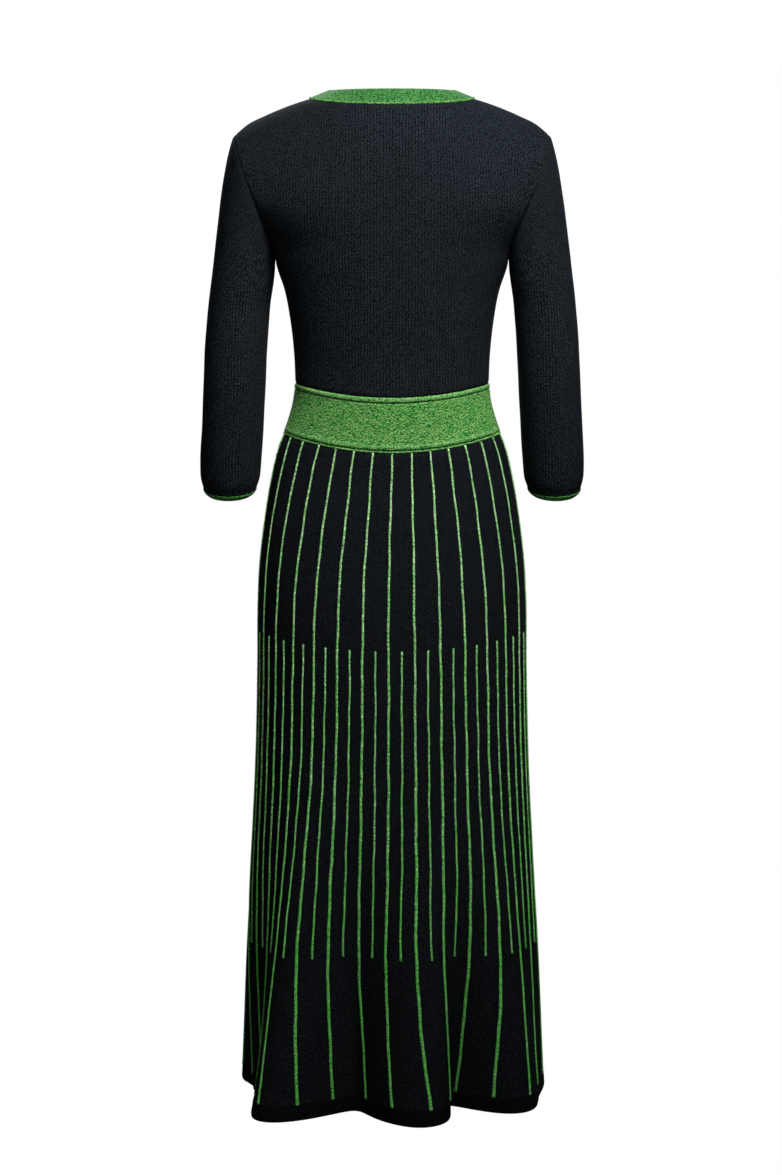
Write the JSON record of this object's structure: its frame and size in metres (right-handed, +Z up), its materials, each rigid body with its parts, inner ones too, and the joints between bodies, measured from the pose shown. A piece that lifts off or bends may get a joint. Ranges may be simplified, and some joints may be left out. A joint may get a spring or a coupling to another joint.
{
  "type": "knit dress",
  "caption": "Knit midi dress in its worn form: close bodice, three-quarter sleeves, round neckband, wide waistband with rolled edges, and an A-line skirt with raised cord ribs.",
  "frame": {"origin": "midway between the high points of the two shoulders, where the wearer's shoulders hold the dress", "axes": "+Z up, along the dress from hem to neck; the front faces -Y; +X is the wearer's left"},
  "size_m": [0.4484, 0.3835, 1.1629],
  "materials": {
    "black_knit": "matte fine-gauge knit",
    "green_knit": "matte marled knit"
  },
  "bodies": {
    "root": {"bodice_back": "black_knit", "bodice_front": "black_knit", "sleeve_left": "black_knit", "sleeve_right": "black_knit", "skirt_back": "black_knit", "skirt_front": "black_knit", "neckband": "green_knit", "waistband_back": "green_knit", "waistband_front": "green_knit", "cuff_trim_left": "green_knit", "cuff_trim_right": "green_knit"}
  },
  "joints": []
}
